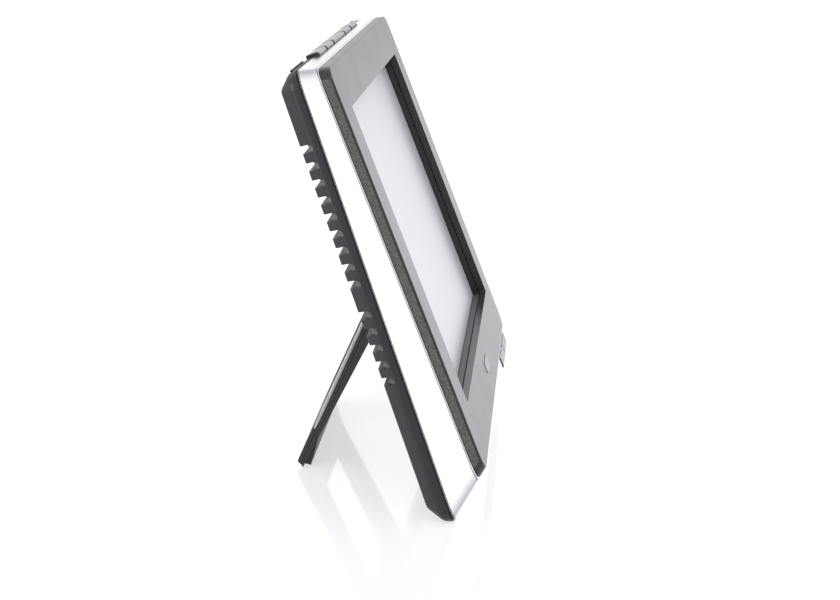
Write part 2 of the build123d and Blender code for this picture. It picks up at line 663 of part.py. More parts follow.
# ---------------------------------------------------------------- assembly
NODES = {
    "front_bezel": front_bezel(), "badge_plate": badge_plate(), "silver_band": silver_band(),
    "back_cover": back_cover(), "stand_leg": stand_leg(), "leg_foot_pad": leg_foot_pad(),
    "hinge_pins": hinge_pins(), "friction_washers": friction_washers(), "lcd_glass": lcd_glass(),
    "lcd_backlight": lcd_backlight(), "lcd_holder": lcd_holder(), "key_board": key_board(),
    "key_switches": key_switches(), "bottom_pod": bottom_pod(), "pod_board": pod_board(),
    "pod_switches": pod_switches(), "main_board": main_board(), "board_chips": board_chips(),
    "card_slot": card_slot(), "usb_socket": usb_socket(), "dc_jack": dc_jack(),
    "key_ribbon": key_ribbon(), "panel_ribbon": panel_ribbon(), "pod_ribbon": pod_ribbon(),
    "case_screws": case_screws(), "board_screws": board_screws(),
}
NODES |= {name: top_key(name) for name in TOP_KEYS}
NODES |= {name: pod_key(name) for name in POD_KEYS}


def leaned(shape):
    """Leans a piece, or each piece of a group, back to the standing pose."""
    solids = shape if isinstance(shape, list) else [shape]
    return Compound(children=[Rot(-LEAN, 0, 0) * solid for each in solids for solid in each.solids()])


STANDING = {name: leaned(shape) for name, shape in NODES.items()}
boxes = [shape.bounding_box() for shape in STANDING.values()]
shift = -(min(box.min.Y for box in boxes) + max(box.max.Y for box in boxes)) / 2
on_table = Pos(0, shift, LIFT)
for name, shape in STANDING.items():
    export_step(on_table * shape, f"parts/{name}.step")
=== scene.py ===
"""Looks of a 7 inch digital photo frame on its folding leg, built around the fixed CAD frame.

Lengths are metres in the row frame: X along the width, Y into the depth, Z up.
"""

from __future__ import annotations

import logging
import math
from dataclasses import dataclass, field
from enum import Enum

import bmesh
import bpy
import numpy as np
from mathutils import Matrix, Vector


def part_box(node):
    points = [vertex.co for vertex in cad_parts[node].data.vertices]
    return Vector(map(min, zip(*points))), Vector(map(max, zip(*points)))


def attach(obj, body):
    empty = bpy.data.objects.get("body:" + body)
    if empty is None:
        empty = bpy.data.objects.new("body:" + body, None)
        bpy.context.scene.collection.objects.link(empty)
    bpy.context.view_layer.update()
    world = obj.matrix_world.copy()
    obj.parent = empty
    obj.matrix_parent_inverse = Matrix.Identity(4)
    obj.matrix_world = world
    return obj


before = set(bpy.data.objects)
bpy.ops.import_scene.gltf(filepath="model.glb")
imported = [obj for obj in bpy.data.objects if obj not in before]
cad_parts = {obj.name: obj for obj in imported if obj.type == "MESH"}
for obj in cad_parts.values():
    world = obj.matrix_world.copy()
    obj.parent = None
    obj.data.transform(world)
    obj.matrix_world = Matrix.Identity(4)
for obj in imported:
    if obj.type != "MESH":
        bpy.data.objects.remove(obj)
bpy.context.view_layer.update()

LOG = logging.getLogger("photo_frame")
MM = 0.001
WELD = 0.001 * MM  # vertices nearer than this are one
SENSOR_WIDTH = 36.0  # millimetres
Colour = tuple[float, float, float]
Number = float | int
Surface = tuple[np.ndarray, list]


# ---------------------------------------------------------------- places in the leaned body
@dataclass(frozen=True)
class PanelFrame:
    """The upright drawing frame of the body, and how it stands on the table.

    Attributes:
        lean: backward lean of the front face, radians.
        lift: height of the drawing frame's origin above the table, metres.
        glass_low: (depth, height) of the lower front edge of the display glass, metres.
    """

    lean: float = math.radians(21.03)
    lift: float = 16.2 * MM
    glass_low: tuple[float, float] = (4.8 * MM, 13.7 * MM)

    def shift(self) -> float:
        """Depth of the drawing frame's origin, read from the display glass."""
        y, z = self.glass_low
        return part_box("lcd_glass")[0][1] - y * math.cos(self.lean) - z * math.sin(self.lean)

    def place(self, points: np.ndarray) -> np.ndarray:
        """Turns points about X by the lean and sets them on the table.

        Args:
            points: (n, 3) array in the drawing frame, metres.

        Returns:
            (n, 3) array in the row frame.
        """
        c, s = math.cos(self.lean), math.sin(self.lean)
        x, y, z = points.T
        return np.stack([x, y * c + z * s + self.shift(), z * c - y * s + self.lift], axis=1)


@dataclass(frozen=True)
class LegFrame:
    """Frame of the open leg: s runs down it from its axis, n points out of its rear skin.

    Attributes:
        tilt: angle of the open leg from the vertical, radians.
        axis_depth: depth of the axis in the drawing frame, metres.
        axis_height: height of the axis in the drawing frame, metres.
    """

    tilt: float = math.radians(24.36)
    axis_depth: float = 15.92 * MM
    axis_height: float = 52.5 * MM

    def place(self, points: np.ndarray, body: PanelFrame) -> np.ndarray:
        """Carries (x, s, n) points to the row frame.

        Args:
            points: (n, 3) array of x, s and n, metres.
            body: the frame the axis is fixed in.

        Returns:
            (n, 3) array in the row frame.
        """
        origin = body.place(np.array([[0.0, self.axis_depth, self.axis_height]]))[0]
        c, t = math.cos(self.tilt), math.sin(self.tilt)
        x, s, n = points.T
        return np.stack([x, origin[1] + s * t + n * c, origin[2] - s * c + n * t], axis=1)


# ---------------------------------------------------------------- surfaces worked out with numpy
def grid_faces(rows: int, columns: int) -> np.ndarray:
    """Quads of a grid that closes round its columns.

    Args:
        rows: stations along the surface.
        columns: points round each station.

    Returns:
        (n, 4) array of vertex numbers, wound so that they face outwards.
    """
    row, column = np.meshgrid(np.arange(rows - 1), np.arange(columns), indexing="ij")
    ahead = (column + 1) % columns
    quads = [row * columns + column, row * columns + ahead,
             (row + 1) * columns + ahead, (row + 1) * columns + column]
    return np.stack(quads, axis=-1).reshape(-1, 4)


def rounded_blocks(centres: np.ndarray, sizes: np.ndarray, squareness: float) -> Surface:
    """Blocks with rounded edges.

    Each is a superellipsoid: the sphere's cosines and sines are raised to 2 over the squareness,
    keep their sign, and are scaled to half the size on each axis.

    Args:
        centres: (k, 3) centres, metres.
        sizes: (k, 3) full sizes, metres.
        squareness: 2 is an ellipsoid, and larger is nearer to a box.

    Returns:
        Vertices of all the blocks, and their faces.
    """
    rows, columns = 9, 16
    v = np.linspace(-math.pi / 2, math.pi / 2, rows)
    u = np.arange(columns) * 2 * math.pi / columns + math.pi / columns

    def power(value: np.ndarray) -> np.ndarray:
        """The value raised to 2 over the squareness, with its sign kept."""
        return np.sign(value) * np.abs(value) ** (2 / squareness)

    ring = power(np.cos(v))[:, None]
    height = power(np.sin(v))[:, None] + 0 * u
    unit = np.stack([ring * power(np.cos(u)), ring * power(np.sin(u)), height], axis=-1)
    unit = unit.reshape(-1, 3)
    points = (centres[:, None, :] + unit[None] * sizes[:, None, :] / 2).reshape(-1, 3)
    faces = grid_faces(rows, columns)
    starts = np.arange(len(centres))[:, None, None] * len(unit)
    return points, (faces[None] + starts).reshape(-1, 4).tolist()


def carried_strip(half_width: float, height: float, start: np.ndarray, run: np.ndarray,
                  side: np.ndarray, up: np.ndarray, count: int = 14) -> Surface:
    """A bead carried along a straight run, drawn in to nothing at its ends.

    The profile is an ellipse of the half width and height. Along the run it is scaled by the
    fourth root of 1 minus the fourth power of the station, which goes from -1 to 1.

    Args:
        half_width: half the bead's width, metres.
        height: how far it stands up, and down, from its line, metres.
        start: first point of the line.
        run: vector along the whole line.
        side: unit vector across the bead.
        up: unit vector out of the surface.
        count: points round the profile.

    Returns:
        Vertices and faces of the bead.
    """
    station = np.sin(np.linspace(-math.pi / 2, math.pi / 2, 15))
    scale = np.clip(1 - station**4, 0.0, 1.0) ** 0.25 + 1e-4
    turn = np.arange(count) * 2 * math.pi / count
    line = start + np.outer((station + 1) / 2, run)
    round_it = (half_width * np.cos(turn)[:, None] * side + height * np.sin(turn)[:, None] * up)
    points = line[:, None, :] + scale[:, None, None] * round_it[None]
    if np.dot(np.cross(side, up), run) < 0:
        points = points[:, ::-1]
    return points.reshape(-1, 3), grid_faces(len(station), count).tolist()


def merged(parts: list[Surface]) -> Surface:
    """Several surfaces as one.

    Args:
        parts: vertices and faces of each.

    Returns:
        Vertices and faces of them all.
    """
    points, faces, start = [], [], 0
    for vertices, quads in parts:
        points.append(vertices)
        faces.extend((np.asarray(quads) + start).tolist())
        start += len(vertices)
    return np.concatenate(points), faces


def new_piece(name: str, surface: Surface, material: bpy.types.Material,
              body: str) -> bpy.types.Object:
    """Makes a smooth shaded piece that rides on a body.

    Args:
        name: the piece's name.
        surface: its vertices and faces.
        material: its finish.
        body: the body it rides on.

    Returns:
        The new object.
    """
    points, faces = surface
    mesh = bpy.data.meshes.new(name)
    mesh.from_pydata(np.asarray(points).tolist(), [], faces)
    weld = bmesh.new()
    weld.from_mesh(mesh)
    bmesh.ops.remove_doubles(weld, verts=weld.verts, dist=WELD)
    weld.to_mesh(mesh)
    weld.free()
    mesh.materials.append(material)
    mesh.polygons.foreach_set("use_smooth", np.ones(len(mesh.polygons), dtype=bool))
    mesh.update()
    piece = bpy.data.objects.new(name, mesh)
    bpy.context.scene.collection.objects.link(piece)
    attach(piece, body)
    LOG.info("%s: %d faces on %s", name, len(faces), body)
    return piece


# ---------------------------------------------------------------- shader maths
@dataclass(frozen=True)
class Wire:
    """A value in a material. Arithmetic on it adds Math nodes."""

    sheet: "Sheet"
    socket: bpy.types.NodeSocket

    def _math(self, operation: str, first: "Wire | Number", second: "Wire | Number") -> "Wire":
        """A Math node of that operation on two values."""
        return self.sheet.node("ShaderNodeMath", {"operation": operation}, {0: first, 1: second})

    def __add__(self, other: "Wire | Number") -> "Wire":
        """Sum."""
        return self._math("ADD", self, other)

    def __radd__(self, other: Number) -> "Wire":
        """Sum with a number first."""
        return self._math("ADD", other, self)

    def __sub__(self, other: "Wire | Number") -> "Wire":
        """Difference."""
        return self._math("SUBTRACT", self, other)

    def __rsub__(self, other: Number) -> "Wire":
        """Difference from a number."""
        return self._math("SUBTRACT", other, self)

    def __mul__(self, other: "Wire | Number") -> "Wire":
        """Product."""
        return self._math("MULTIPLY", self, other)

    def __rmul__(self, other: Number) -> "Wire":
        """Product with a number first."""
        return self._math("MULTIPLY", other, self)

    def __lt__(self, other: "Wire | Number") -> "Wire":
        """1 where this is the smaller, else 0."""
        return self._math("LESS_THAN", self, other)

    def __gt__(self, other: "Wire | Number") -> "Wire":
        """1 where this is the larger, else 0."""
        return self._math("GREATER_THAN", self, other)

    def __abs__(self) -> "Wire":
        """Distance from nought."""
        return self._math("ABSOLUTE", self, 0.0)

    def repeat(self, pitch: float) -> "Wire":
        """Place within a repeat of that pitch, from 0 to 1."""
        return self._math("FRACT", self * (1 / pitch), 0.0)

    def limit(self) -> "Wire":
        """This value kept between 0 and 1."""
        return self.sheet.node("ShaderNodeClamp", None, {0: self})

    def blend(self, first: "Wire | Colour", second: "Wire | Colour") -> "Wire":
        """A colour between two, by this value.

        Args:
            first: the colour where this is 0.
            second: the colour where this is 1.

        Returns:
            The colour.
        """
        ends = [end if isinstance(end, Wire) else (*end, 1.0) for end in (first, second)]
        return self.sheet.node("ShaderNodeMix", {"data_type": "RGBA"},
                               {"Factor": self, 6: ends[0], 7: ends[1]}, output=2)


class Sheet:
    """One material's node tree, with a Principled surface."""

    def __init__(self, name: str) -> None:
        """Starts a material.

        Args:
            name: the material's name.
        """
        self.material = bpy.data.materials.new(name)
        self.material.use_nodes = True
        self.tree = self.material.node_tree
        self.surface = self.tree.nodes["Principled BSDF"]

    def node(self, kind: str, settings: dict | None = None, values: dict | None = None,
             output: int | str = 0) -> Wire:
        """Creates any node.

        Args:
            kind: the node's type.
            settings: properties that are set first.
            values: numbers, colours or wires for its sockets, by name or number.
            output: the output that is wanted.

        Returns:
            The output as a wire.
        """
        made = self.tree.nodes.new(kind)
        for key, value in (settings or {}).items():
            setattr(made, key, value)
        for key, value in (values or {}).items():
            self.feed(made.inputs[key], value)
        return Wire(self, made.outputs[output])

    def feed(self, socket: bpy.types.NodeSocket, value: object) -> None:
        """Sets a socket to a value, or links a wire to it.

        Args:
            socket: the socket.
            value: a number, a colour or a wire.
        """
        if isinstance(value, Wire):
            self.tree.links.new(value.socket, socket)
        else:
            socket.default_value = value

    def surface_values(self, **values: object) -> None:
        """Sets or links sockets of the surface, with underscores for blanks in their names."""
        for key, value in values.items():
            self.feed(self.surface.inputs[key.replace("_", " ")], value)

    def place(self) -> Wire:
        """Object coordinates."""
        return self.node("ShaderNodeTexCoord", output="Object")

    def body_axes(self, body: PanelFrame) -> tuple[Wire, Wire, Wire]:
        """Width, depth and height in the body's own drawing frame, metres.

        Args:
            body: the leaned frame of the body.

        Returns:
            The three values.
        """
        parts = self.tree.nodes.new("ShaderNodeSeparateXYZ")
        self.feed(parts.inputs[0], self.place())
        x, y, z = (Wire(self, socket) for socket in parts.outputs)
        c, s = math.cos(body.lean), math.sin(body.lean)
        y, z = y - body.shift(), z - body.lift
        return x, y * c - z * s, y * s + z * c

    def facing(self) -> Wire:
        """How far the surface faces along the width, from -1 to 1."""
        normal = self.node("ShaderNodeTexCoord", output="Normal")
        return self.node("ShaderNodeSeparateXYZ", None, {0: normal})

    def noise(self, size: float, detail: float = 3.0,
              stretch: tuple[float, float, float] = (1, 1, 1)) -> Wire:
        """Noise with features of that size.

        Args:
            size: feature size, metres.
            detail: how many finer layers.
            stretch: scale on each axis, smaller draws it out.

        Returns:
            The noise, from 0 to 1.
        """
        where = self.node("ShaderNodeMapping", None, {"Vector": self.place(), "Scale": stretch})
        return self.node("ShaderNodeTexNoise", None,
                         {"Vector": where, "Scale": 1 / size, "Detail": detail})

    def bump(self, height: Wire, depth: float) -> None:
        """Bumps the surface by a height from 0 to 1.

        Args:
            height: the height.
            depth: what 1 means, metres.
        """
        self.surface_values(Normal=self.node("ShaderNodeBump", None,
                                             {"Height": height, "Distance": depth}, output="Normal"))


def shade(colour: Colour, factor: float) -> Colour:
    """The colour made darker or lighter.

    Args:
        colour: the colour.
        factor: what each part is multiplied by.

    Returns:
        The new colour, with no part above 1.
    """
    return tuple(min(1.0, factor * part) for part in colour)


# ---------------------------------------------------------------- finishes
@dataclass(frozen=True)
class MouldedPlastic:
    """Moulded plastic with a spark eroded grain and faint handling marks.

    Attributes:
        colour: base colour.
        roughness: how matt it is.
        grain: size of the grain, metres.
        depth: depth of the grain, metres.
        sheen_spread: how far the roughness varies.
        ior: index of refraction of its skin.
    """

    colour: Colour
    roughness: float = 0.42
    grain: float = 0.45 * MM
    depth: float = 0.02 * MM
    sheen_spread: float = 0.10
    ior: float = 1.5

    def make(self, name: str) -> bpy.types.Material:
        """The finish as a material.

        Args:
            name: the material's name.

        Returns:
            The material.
        """
        sheet = Sheet(name)
        fine = sheet.noise(self.grain, detail=2.0)
        broad = sheet.noise(14 * MM, detail=4.0)
        tone = fine * 0.6 + broad * 0.4
        sheet.surface_values(
            Base_Color=tone.blend(shade(self.colour, 0.80), shade(self.colour, 1.20)), IOR=self.ior,
            Roughness=broad * self.sheen_spread + (self.roughness - self.sheen_spread / 2),
        )
        sheet.bump(fine, self.depth)
        return sheet.material


@dataclass(frozen=True)
class FacePlastic:
    """Bezel plastic: a smooth lilac grey face, a grained dark side, and a black line of painted shade
    between them.

    Attributes:
        face: colour of the front face.
        side: darkest and lightest colour of the grain on the sides.
        grain: size of the grain, metres.
        line: depths between which the black painted shade line runs, metres.
        black: colour of that painted shade line.
        shaded_wall: colour of the opening's side walls and of the rounded corners, a painted shade.
        outside: distance from the middle beyond which a side is an outer one, metres.
        flat: how squarely a side faces along the width where its grain starts.
    """

    face: Colour = (0.032, 0.026, 0.034)
    side: tuple[Colour, Colour] = ((0.008, 0.008, 0.007), (0.108, 0.108, 0.099))
    grain: float = 0.30 * MM
    line: tuple[float, float] = (0.30 * MM, 0.75 * MM)
    black: Colour = (0.004, 0.004, 0.004)
    shaded_wall: Colour = (0.007, 0.007, 0.007)
    outside: float = 85 * MM
    flat: float = 0.93

    def make(self, name: str, body: PanelFrame) -> bpy.types.Material:
        """The finish as a material, laid out in the body's drawing frame.

        Args:
            name: the material's name.
            body: the leaned frame of the body.

        Returns:
            The material.
        """
        sheet = Sheet(name)
        width, depth, _ = sheet.body_axes(body)
        turned = abs(sheet.facing())
        front = 1 - (turned > 0.5)
        outer = (abs(width) > self.outside) * (turned > self.flat)
        # painted shade: a black line on the outer sides stands for the dark the rounded edge shows
        line = (depth < self.line[1]) * (depth > self.line[0]) * outer
        fine = sheet.noise(self.grain, detail=2.0)
        broad = sheet.noise(16 * MM, detail=4.0)
        speck = ((fine - 0.5) * 2.6 + 0.46).limit()
        # painted shade: every side but the outer ones takes the shaded wall colour
        side = outer.blend(self.shaded_wall, speck.blend(*self.side))
        face = broad.blend(shade(self.face, 0.86), shade(self.face, 1.14))
        colour = line.blend(front.blend(side, face), self.black)
        sheet.surface_values(Base_Color=colour, IOR=1.52, Coat_Weight=front * 0.15, Coat_Roughness=0.25,
                             Roughness=broad * 0.07 + 0.27 + (1 - front) * 0.10)
        sheet.bump(fine * (1.15 - front), 0.03 * MM)
        return sheet.material


@dataclass(frozen=True)
class RecessPlastic:
    """Black inner frame, with painted light: greyer on the ledges that look up or forward, painted
    shade on the walls.

    Attributes:
        shaded_wall: colour of the walls that face along the width, a painted shade.
        lit_ledge: colour of the other faces, a painted light grey.
    """

    shaded_wall: Colour = (0.006, 0.006, 0.006)
    lit_ledge: Colour = (0.085, 0.082, 0.086)

    def make(self, name: str) -> bpy.types.Material:
        """The finish as a material.

        Args:
            name: the material's name.

        Returns:
            The material.
        """
        sheet = Sheet(name)
        fine = sheet.noise(0.4 * MM, detail=2.0)
        # painted light and shade: walls along the width are drawn black, every other face lit grey
        shaded_flank = abs(sheet.facing()) > 0.5
        pale = fine.blend(shade(self.lit_ledge, 0.85), self.lit_ledge)
        sheet.surface_values(Base_Color=shaded_flank.blend(pale, self.shaded_wall), Roughness=fine * 0.10 + 0.42)
        sheet.bump(fine, 0.02 * MM)
        return sheet.material


@dataclass(frozen=True)
class KeyPlastic:
    """Grey key cap, with painted shade on its ends and a painted shadow at its foot.

    Attributes:
        top: colour of the cap.
        dark: painted shade colour of the ends, and painted shadow colour of the foot.
        foot: heights in the drawing frame between which a top key's foot lies and its painted shadow is
            drawn, metres.
    """

    top: Colour = (0.25, 0.24, 0.26)
    dark: Colour = (0.006, 0.006, 0.007)
    foot: tuple[float, float] = (60 * MM, 125.75 * MM)

    def make(self, name: str, body: PanelFrame) -> bpy.types.Material:
        """The finish as a material, laid out in the body's drawing frame.

        Args:
            name: the material's name.
            body: the leaned frame of the body.

        Returns:
            The material.
        """
        sheet = Sheet(name)
        _, _, height = sheet.body_axes(body)
        fine = sheet.noise(0.3 * MM, detail=2.0)
        # painted shade on the ends that face along the width, and painted shadow on the top keys' foot
        ends = abs(sheet.facing()) > 0.35
        foot = (height < self.foot[1]) * (height > self.foot[0])
        dark = 1 - (1 - ends) * (1 - foot)
        cap = fine.blend(self.top, shade(self.top, 1.12))
        sheet.surface_values(Base_Color=dark.blend(cap, self.dark),
                             Roughness=fine * 0.08 + 0.30)
        sheet.bump(fine, 0.01 * MM)
        return sheet.material


@dataclass(frozen=True)
class PlatedBand:
    """Silver plating, with painted shade on the rounded corners and a painted shade line beside each
    seam.

    Attributes:
        bright: reflected colour of the flat faces.
        soft: reflected colour of the rounded corners, darker as a painted shade.
        front_seam: depth of the painted shade line behind the bezel, metres.
        rear_seam: depth of the painted shade line before the cover at height 0, metres, and its taper.
        hair: half the hairlines' width, metres.
        shadow: colour of the painted shade lines that stand for the seam gaps.
    """

    bright: Colour = (0.94, 0.94, 0.95)
    soft: Colour = (0.50, 0.50, 0.53)
    front_seam: float = 3.62 * MM
    rear_seam: tuple[float, float] = (13.42 * MM, 0.0385)
    hair: float = 0.11 * MM
    shadow: Colour = (0.05, 0.05, 0.05)

    def make(self, name: str, body: PanelFrame) -> bpy.types.Material:
        """The finish as a material, laid out in the body's drawing frame.

        Args:
            name: the material's name.
            body: the leaned frame of the body.

        Returns:
            The material.
        """
        sheet = Sheet(name)
        _, depth, height = sheet.body_axes(body)
        lines = sheet.noise(0.15 * MM, detail=2.0, stretch=(1.0, 0.05, 0.05))
        cloud = sheet.noise(9 * MM, detail=3.0)
        # painted shade: the rounded corners, half way between facings, are drawn darker than the flat
        # faces
        side = (abs(abs(sheet.facing()) - 0.5) * 2.3 - 0.1).limit()
        rear = depth + height * self.rear_seam[1] - self.rear_seam[0]
        # painted shade: a dull dark line beside each seam stands for the shade in the gap
        painted_gap_shade = 1 - (1 - (abs(depth - self.front_seam) < self.hair)) * (1 - (abs(rear) < self.hair))
        colour = painted_gap_shade.blend(side.blend(self.soft, self.bright), self.shadow)
        sheet.surface_values(Base_Color=colour, Metallic=1.0 - painted_gap_shade,
                             Roughness=lines * 0.08 + cloud * 0.05 + 0.14)
        sheet.bump(lines - painted_gap_shade, 0.003 * MM)
        return sheet.material


@dataclass(frozen=True)
class Metal:
    """Bare or plated metal with fine drawn lines.

    Attributes:
        colour: reflected colour.
        roughness: how satin it is.
        line: width of the drawn lines, metres.
        stretch: scale of the lines on each axis.
        depth: depth of the lines, metres.
    """

    colour: Colour
    roughness: float = 0.18
    line: float = 0.15 * MM
    stretch: Colour = (0.03, 1.0, 1.0)
    depth: float = 0.003 * MM

    def make(self, name: str) -> bpy.types.Material:
        """The finish as a material.

        Args:
            name: the material's name.

        Returns:
            The material.
        """
        sheet = Sheet(name)
        lines = sheet.noise(self.line, detail=2.0, stretch=self.stretch)
        cloud = sheet.noise(9 * MM, detail=3.0)
        sheet.surface_values(
            Base_Color=cloud.blend(shade(self.colour, 0.94), self.colour), Metallic=1.0,
            Roughness=lines * 0.08 + cloud * 0.05 + (self.roughness - 0.065),
        )
        sheet.bump(lines, self.depth)
        return sheet.material


@dataclass(frozen=True)
class ScreenFilm:
    """Antiglare film over the dark display, painted pale grey as the film's sheen, with its cells and a
    black border.

    Attributes:
        colour: pale grey of the active area, a painted reflection of the film's sheen over the darker
            switched off display.
        active: half width and half height of the active area, metres.
        centre: height of the screen's centre in the drawing frame, metres.
        cell: pitch of the cells, metres.
        gap: part of each cell that its dark edge takes.
        border: colour of the black border.
    """

    colour: Colour = (0.48, 0.465, 0.505)
    active: tuple[float, float] = (76.2 * MM, 45.7 * MM)
    centre: float = 63.7 * MM
    cell: float = 0.3175 * MM
    gap: float = 0.12
    border: Colour = (0.012, 0.012, 0.014)

    def make(self, name: str, body: PanelFrame) -> bpy.types.Material:
        """The finish as a material, laid out in the body's drawing frame.

        Args:
            name: the material's name.
            body: the leaned frame of the body.

        Returns:
            The material.
        """
        sheet = Sheet(name)
        x, _, z = sheet.body_axes(body)
        height = z - self.centre
        inside = (abs(x) < self.active[0]) * (abs(height) < self.active[1])
        gaps = 1 - (1 - (x.repeat(self.cell) < self.gap)) * (1 - (height.repeat(self.cell) < self.gap))
        cloud = sheet.noise(30 * MM, detail=2.0)
        # painted reflection: the active area is drawn pale grey for the film's sheen
        tone = inside * (0.94 - gaps * 0.05 + cloud * 0.06)
        speckle = sheet.noise(0.12 * MM, detail=1.0)
        sheet.surface_values(
            Base_Color=tone.blend(self.border, self.colour), Roughness=speckle * 0.08 + 0.30,
            IOR=1.5, Coat_Weight=0.6, Coat_Roughness=0.30, Coat_IOR=1.5,
        )
        sheet.bump(speckle, 0.004 * MM)
        return sheet.material


@dataclass(frozen=True)
class SolderMask:
    """Green lacquer over copper tracks on a circuit board.

    Attributes:
        mask: colour of the lacquer over bare board.
        track: colour of the lacquer over copper.
        pitch: spacing of the tracks, metres.
        share: part of the pitch that a track takes.
        wander: how far the tracks bend, metres.
    """

    mask: Colour = (0.010, 0.085, 0.035)
    track: Colour = (0.020, 0.190, 0.080)
    pitch: float = 1.27 * MM
    share: float = 0.42
    wander: float = 3 * MM

    def make(self, name: str, body: PanelFrame) -> bpy.types.Material:
        """The finish as a material, laid out in the body's drawing frame.

        Args:
            name: the material's name.
            body: the leaned frame of the body.

        Returns:
            The material.
        """
        sheet = Sheet(name)
        x, _, z = sheet.body_axes(body)
        bend = sheet.noise(7 * MM, detail=0.0) * self.wander
        across = (x + bend).repeat(self.pitch) < self.share
        along = (z + bend).repeat(self.pitch) < self.share
        choose = sheet.noise(16 * MM, detail=0.0) < 0.5
        copper = across * choose + along * (1 - choose)
        sheet.surface_values(
            Base_Color=copper.blend(self.mask, self.track), Roughness=0.32 - copper * 0.06,
            Coat_Weight=0.3,
        )
        sheet.bump(copper, 0.03 * MM)
        return sheet.material


@dataclass(frozen=True)
class RibbedRubber:
    """Matt rubber with fine ribs across the foot.

    Attributes:
        colour: colour of clean rubber.
        rib: spacing of the ribs, metres.
    """

    colour: Colour = (0.022, 0.022, 0.022)
    rib: float = 1.6 * MM

    def make(self, name: str, body: PanelFrame) -> bpy.types.Material:
        """The finish as a material, laid out in the body's drawing frame.

        Args:
            name: the material's name.
            body: the leaned frame of the body.

        Returns:
            The material.
        """
        sheet = Sheet(name)
        x, _, _ = sheet.body_axes(body)
        rib = abs(x.repeat(self.rib) - 0.5)
        dust = sheet.noise(1.2 * MM, detail=4.0)
        sheet.surface_values(Base_Color=(dust * 0.8).blend(self.colour, shade(self.colour, 2.4)),
                             Roughness=dust * 0.1 + 0.75)
        sheet.bump(rib * 0.8 + dust * 0.2, 0.12 * MM)
        return sheet.material


@dataclass(frozen=True)
class RibbonFilm:
    """White film with dark conductors printed along it.

    Attributes:
        film: colour of the film.
        conductor: colour of the conductors under it.
        pitch: spacing of the conductors, metres.
    """

    film: Colour = (0.62, 0.60, 0.54)
    conductor: Colour = (0.30, 0.29, 0.27)
    pitch: float = 1.0 * MM

    def make(self, name: str, body: PanelFrame) -> bpy.types.Material:
        """The finish as a material, laid out in the body's drawing frame.

        Args:
            name: the material's name.
            body: the leaned frame of the body.

        Returns:
            The material.
        """
        sheet = Sheet(name)
        x, _, _ = sheet.body_axes(body)
        line = x.repeat(self.pitch) < 0.5
        haze = sheet.noise(2 * MM, detail=2.0)
        sheet.surface_values(Base_Color=line.blend(self.film, self.conductor),
                             Roughness=haze * 0.1 + 0.3)
        sheet.bump(line, 0.02 * MM)
        return sheet.material


class Finish(Enum):
    """Every plain finish on the frame."""

    COVER = MouldedPlastic((0.0030, 0.0028, 0.0060), roughness=0.46, grain=0.6 * MM, depth=0.03 * MM)
    LEG = MouldedPlastic((0.010, 0.010, 0.011), roughness=0.42, grain=0.6 * MM, depth=0.03 * MM)
    # painted highlight: light grey for the light that the leg's dark edges catch
    EDGE_HIGHLIGHT = MouldedPlastic((0.34, 0.34, 0.35), roughness=0.20, grain=2.0 * MM, depth=0.002 * MM)
    SWITCH = MouldedPlastic((0.020, 0.020, 0.021), roughness=0.4, grain=0.2 * MM)
    CHIP = MouldedPlastic((0.015, 0.015, 0.016), roughness=0.6, grain=0.15 * MM)
    BADGE = MouldedPlastic((0.20, 0.19, 0.215), roughness=0.30, grain=0.2 * MM, depth=0.005 * MM)
    STEEL = Metal((0.60, 0.60, 0.61), roughness=0.32)
    SCREW = Metal((0.28, 0.28, 0.29), roughness=0.35, stretch=(1.0, 1.0, 1.0))
    GOLD = Metal((0.90, 0.68, 0.30), roughness=0.22)


def dress(material: bpy.types.Material, *names: str) -> None:
    """Gives CAD nodes a material through their material slots.

    Args:
        material: the finish.
        names: the nodes' names.
    """
    for name in names:
        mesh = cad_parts[name].data
        mesh.materials.clear()
        mesh.materials.append(material)
        LOG.info("%s dressed in %s", name, material.name)


# ---------------------------------------------------------------- sub-assemblies
@dataclass
class Housing:
    """Bezel, band and cover, which make the visible body.

    Attributes:
        body: the leaned frame it is drawn in.
    """

    body: PanelFrame = field(default_factory=PanelFrame)

    def build(self) -> None:
        """Dresses the body's shells, badge and screws."""
        dress(FacePlastic().make("bezel_plastic", self.body), "front_bezel")
        dress(PlatedBand().make("band_metal", self.body), "silver_band", "bottom_pod")
        dress(Finish.COVER.value.make("cover_plastic"), "back_cover")
        dress(Finish.BADGE.value.make("badge_metal"), "badge_plate")
        dress(Finish.SCREW.value.make("screw_steel"), "case_screws", "board_screws")


@dataclass
class Display:
    """The display module in its black inner frame.

    Attributes:
        body: the leaned frame it is drawn in.
    """

    body: PanelFrame = field(default_factory=PanelFrame)

    def build(self) -> None:
        """Dresses the glass, the tray and the holder."""
        dress(ScreenFilm().make("screen_glass", self.body), "lcd_glass")
        dress(Finish.STEEL.value.make("tray_steel"), "lcd_backlight")
        dress(RecessPlastic().make("inner_plastic"), "lcd_holder")


@dataclass
class Keys:
    """The press keys and what lies under them.

    Attributes:
        body: the leaned frame they are drawn in.
        caps: names of the key caps.
    """

    body: PanelFrame = field(default_factory=PanelFrame)
    caps: tuple[str, ...] = ("top_key_1", "top_key_2", "top_key_long", "top_key_4", "top_key_5",
                             "bottom_key_left", "bottom_key_right")

    def build(self) -> None:
        """Dresses the caps and the switches."""
        dress(KeyPlastic().make("key_plastic", self.body), *self.caps)
        dress(Finish.SWITCH.value.make("switch_plastic"), "key_switches", "pod_switches", "dc_jack")


@dataclass(frozen=True)
class ContactRow:
    """Sizes of a row of contact springs that point out of a socket.

    Attributes:
        count: how many there are.
        pitch: their spacing up the side, metres.
        middle: height of the middle one in the drawing frame, metres.
        inset: how far inside the socket's mouth they start, metres.
        depth: their depth in the drawing frame, metres.
        length: length of each, metres.
        width: width of each, metres.
    """

    count: int
    pitch: float
    middle: float
    inset: float
    depth: float
    length: float
    width: float


